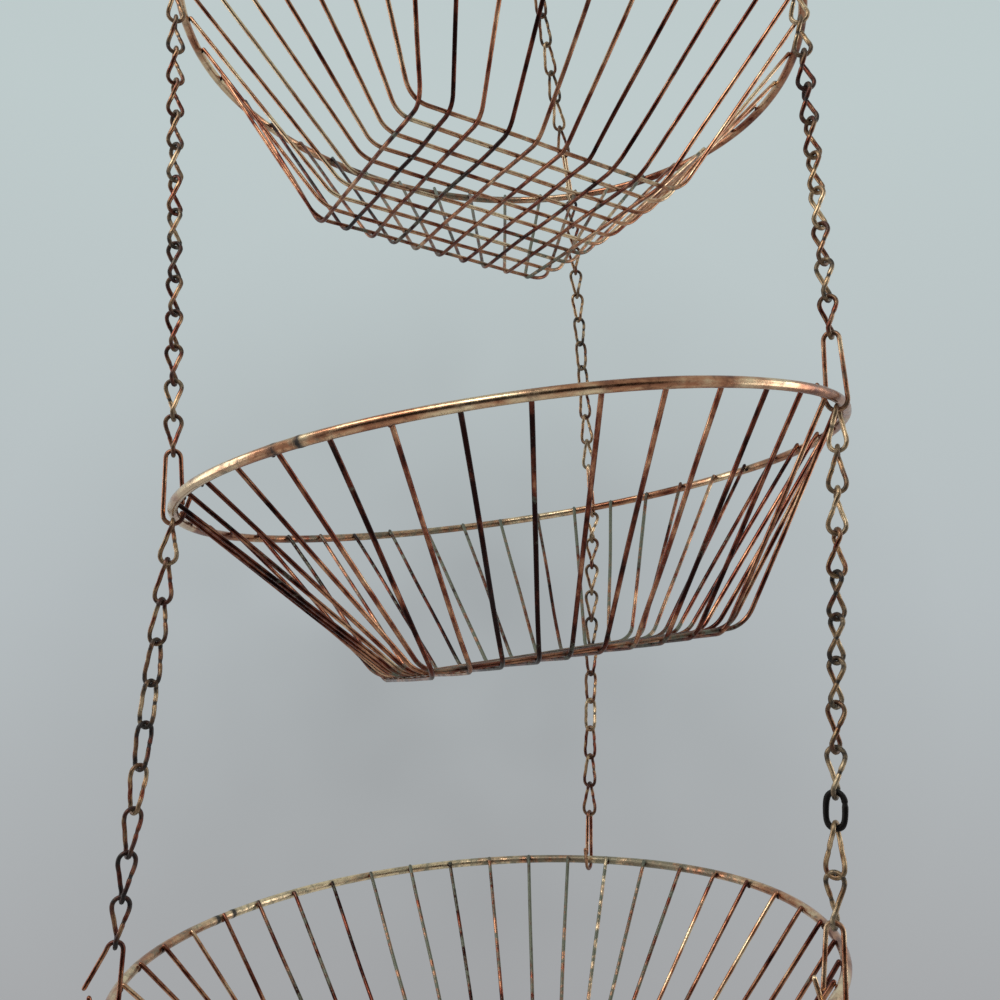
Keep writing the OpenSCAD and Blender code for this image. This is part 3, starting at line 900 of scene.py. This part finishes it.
class ChainRunsOperator(bpy.types.Operator):
    """Make the nine runs of twisted links"""
    bl_idname = "fruit_basket.chain_runs"
    bl_label = "Chain runs"

    def execute(self, context):
        chain = context.scene.chain_sizes
        runs = clips_and_runs()[1]
        words = ("upper", "middle", "lower")
        for (t, side), run in runs.items():
            seed = 900 + 10 * t + SIDES.index(side)
            if (t, side) == (2, "right"):
                low, high, clip = repair_ends()
                thick = chain.repair_wire / 2
                above = run_of_links(*run[:3], high, thick, clip["out"], chain.bearing_gap, seed)
                below = run_of_links(low, thick, clip["out"], *run[3:], seed + 50)
                parts = [above, below]
            else:
                parts = [run_of_links(*run, seed)]
            body = "top_tier" if t == 0 else f"{side}_{words[t]}_run"
            dress(f"{side}_{words[t]}_links", parts, finish("toned_brass_link"), body,
                  f"{side}_{words[t]}_chain")
        return {"FINISHED"}


class MendedLinkOperator(bpy.types.Operator):
    """Make the one thick black link in the right lower run"""
    bl_idname = "fruit_basket.mended_link"
    bl_label = "Black mended link"

    def execute(self, context):
        dress("mended_black_link", [mended_link()], finish("blackened_iron"), "right_lower_run",
              "repair_link")
        return {"FINISHED"}


class RimClipsOperator(bpy.types.Operator):
    """Make the nine wire clips that grip the rims"""
    bl_idname = "fruit_basket.rim_clips"
    bl_label = "Rim clips"

    def execute(self, context):
        for (t, side), clip in clips_and_runs()[0].items():
            tier = TIERS[t]
            dress(f"{tier}_{side}_clip_wire", [rim_clip(t, side, clip)], finish("aged_copper_clip"),
                  f"{tier}_tier", f"{tier}_{side}_clip")
        return {"FINISHED"}


class HookAndRingOperator(bpy.types.Operator):
    """Make the S-hook and the ring that gathers the chains"""
    bl_idname = "fruit_basket.hook_and_ring"
    bl_label = "Hook and ring"

    def execute(self, context):
        dress("ceiling_hook_rod", [hook_rod()], finish("rubbed_hook_steel"), "hook",
              "s_hook")
        dress("gathering_ring_wire", [ring_wire()], finish("aged_copper_rod"), "ring",
              "hanging_ring")
        return {"FINISHED"}


def soft_lamp(name, place, aim, size, power, tint):
    """A large area lamp at a place, turned to face a point."""
    data = bpy.data.lights.new(name, "AREA")
    data.shape = "RECTANGLE"
    data.size, data.size_y = size
    data.energy = power
    data.color = tint
    lamp = bpy.data.objects.new(name, data)
    back = unit(np.subtract(place, aim))
    right = unit(np.cross(UP, back))
    turn = Matrix(np.stack([right, np.cross(back, right), back], 1).tolist()).to_4x4()
    lamp.matrix_world = Matrix.Translation(place) @ turn
    bpy.context.scene.collection.objects.link(lamp)


def plain_wall_light(settings):
    """The backdrop: a world in the wall's three colours by height, with a soft shade behind."""
    world = bpy.data.worlds.new("plain_wall")
    bpy.context.scene.world = world
    g = Graph(world)
    ray = g.add("TexCoord").outputs["Generated"]
    level = g.window(g.add("SeparateXYZ", {0: ray}).outputs[2], -0.45, 0.65)
    shade = g.ramp(level, ((0.10, settings.wall_low), (0.46, settings.wall_middle),
                           (0.86, settings.wall_high)))
    behind = g.add("VectorMath", {0: ray, 1: (-0.05, 0.98, 0.0)}, operation="DISTANCE").outputs[1]
    cloud = g.window(g.noise(ray, 5.0, 2.0), 0.3, 0.7, 0.6, 1.2)
    soft = g.sum_up("MULTIPLY", g.window(behind, 0.10, 0.46, 1.0, 0.0), cloud)
    soft = g.sum_up("MULTIPLY", soft, settings.wall_shadow)
    shade = g.blend(soft, shade, (0.12, 0.115, 0.115, 1.0))
    g.add("OutputWorld", {0: g.add("Background", {0: shade, 1: 1.0}).outputs[0]})


def flat_card(name, corners, material):
    """A flat four-cornered card."""
    mesh = bpy.data.meshes.new(name)
    mesh.from_pydata(corners, [], [(0, 1, 2, 3)])
    mesh.materials.append(material)
    card = bpy.data.objects.new(name, mesh)
    bpy.context.scene.collection.objects.link(card)
    return card


def photo_camera(settings):
    """The camera as it was fitted to the photo, from its place, yaw, pitch and roll."""
    data = bpy.data.cameras.new("photo_camera")
    data.lens = settings.lens
    data.sensor_width = 36.0
    data.sensor_fit = "HORIZONTAL"
    data.clip_start = 0.01
    camera = bpy.data.objects.new("photo_camera", data)
    yaw, pitch, roll = settings.camera_turn
    level = np.array((math.sin(yaw), math.cos(yaw), 0.0))
    ahead = level * math.cos(pitch) + UP * math.sin(pitch)
    right = np.cross(level, UP)
    up = np.cross(right, ahead)
    x = right * math.cos(roll) + up * math.sin(roll)
    y = -right * math.sin(roll) + up * math.cos(roll)
    turn = Matrix(np.stack([x, y, -ahead], 1).tolist()).to_4x4()
    camera.matrix_world = Matrix.Translation(settings.camera_place) @ turn
    bpy.context.scene.collection.objects.link(camera)
    bpy.context.scene.camera = camera


def pale_floor(settings):
    """The floor far below, of matt paint that fades out into the backdrop."""
    paint = bpy.data.materials.new("pale_floor_paint")
    g = Graph(paint)
    place = g.add("TexCoord").outputs["Object"]
    level = g.add("VectorMath", {0: place, 1: (1, 1, 0)}, operation="MULTIPLY").outputs[0]
    far = g.add("VectorMath", {0: level}, operation="LENGTH").outputs[1]
    mottle = g.window(g.noise(place, 9.0, 3.0), 0.3, 0.7, 0.0, 0.06)
    tint = g.blend(mottle, settings.floor, (0.5, 0.5, 0.5, 1))
    shader = g.add("BsdfPrincipled", {"Base Color": tint, "Roughness": 0.8})
    clear = g.add("BsdfTransparent")
    edge = g.window(far, 0.45, 0.9)
    mixed = g.add("MixShader", {0: edge, 1: shader.outputs[0], 2: clear.outputs[0]})
    g.add("OutputMaterial", {0: mixed.outputs[0]})
    r, z = 0.9, -settings.floor_drop
    flat_card("pale_floor", [(-r, -r, z), (r, -r, z), (r, r, z), (-r, r, z)], paint)


def dark_room():
    """A dark card behind the camera, which shows only in the metal's reflections."""
    dark = bpy.data.materials.new("dark_room_cloth")
    g = Graph(dark)
    weave = g.noise(g.add("TexCoord").outputs["Object"], 4.0, 2.0)
    shade = g.ramp(weave, ((0.3, (0.020, 0.019, 0.018, 1)), (0.7, (0.045, 0.042, 0.040, 1))))
    shader = g.add("BsdfPrincipled", {"Base Color": shade, "Roughness": 1.0})
    g.add("OutputMaterial", {0: shader.outputs[0]})
    x, y, low, high = 1.9, -1.5, -1.25, 0.15
    corners = [(-x, y, low), (-x, y, high), (x, y, high), (x, y, low)]
    card = flat_card("dark_room_card", corners, dark)
    card.visible_camera = False
    card.visible_diffuse = False
    card.visible_shadow = False


class StudioOperator(bpy.types.Operator):
    """Set up the camera, the plain backdrop, the pale floor and the soft lamps"""
    bl_idname = "fruit_basket.studio"
    bl_label = "Studio"

    def execute(self, context):
        settings = context.scene.studio_settings
        photo_camera(settings)
        plain_wall_light(settings)
        pale_floor(settings)
        dark_room()
        soft_lamp("key_lamp", (-0.60, -0.70, 0.55), (0, 0, -0.42), (1.3, 0.45),
                  settings.key_power, (1, 0.985, 0.96))
        for name, x in (("left_lamp", -1.25), ("right_lamp", 1.25)):
            soft_lamp(name, (x, 0.15, -0.35), (0, 0, -0.45), (0.5, 1.2),
                      settings.side_power, (1, 1, 1))
        return {"FINISHED"}


class FruitBasketPanel(bpy.types.Panel):
    """The basket's pieces and settings in the sidebar"""
    bl_idname = "VIEW3D_PT_fruit_basket"
    bl_label = "Fruit Basket"
    bl_space_type = "VIEW_3D"
    bl_region_type = "UI"
    bl_category = "Fruit Basket"

    def draw(self, context):
        for operator in OPERATORS:
            self.layout.operator(operator.bl_idname)
        for name, group in SETTINGS.items():
            box = self.layout.box()
            box.label(text=group.__doc__)
            for key in group.__annotations__:
                box.prop(getattr(context.scene, name), key)


OPERATORS = (RimsOperator, BasketWiresOperator, WeldBeadsOperator, ChainRunsOperator,
             MendedLinkOperator, RimClipsOperator, HookAndRingOperator, StudioOperator)
CLASSES = (*SETTINGS.values(), *OPERATORS, FruitBasketPanel)


def register():
    for cls in CLASSES:
        bpy.utils.register_class(cls)
    for name, group in SETTINGS.items():
        setattr(bpy.types.Scene, name, PointerProperty(type=group))


def unregister():
    for name in SETTINGS:
        delattr(bpy.types.Scene, name)
    for cls in reversed(CLASSES):
        bpy.utils.unregister_class(cls)


def main():
    register()
    bpy.context.scene.view_settings.view_transform = "Standard"
    for operator in OPERATORS:
        family, name = operator.bl_idname.split(".")
        getattr(getattr(bpy.ops, family), name)()


if __name__ == "__main__":
    main()
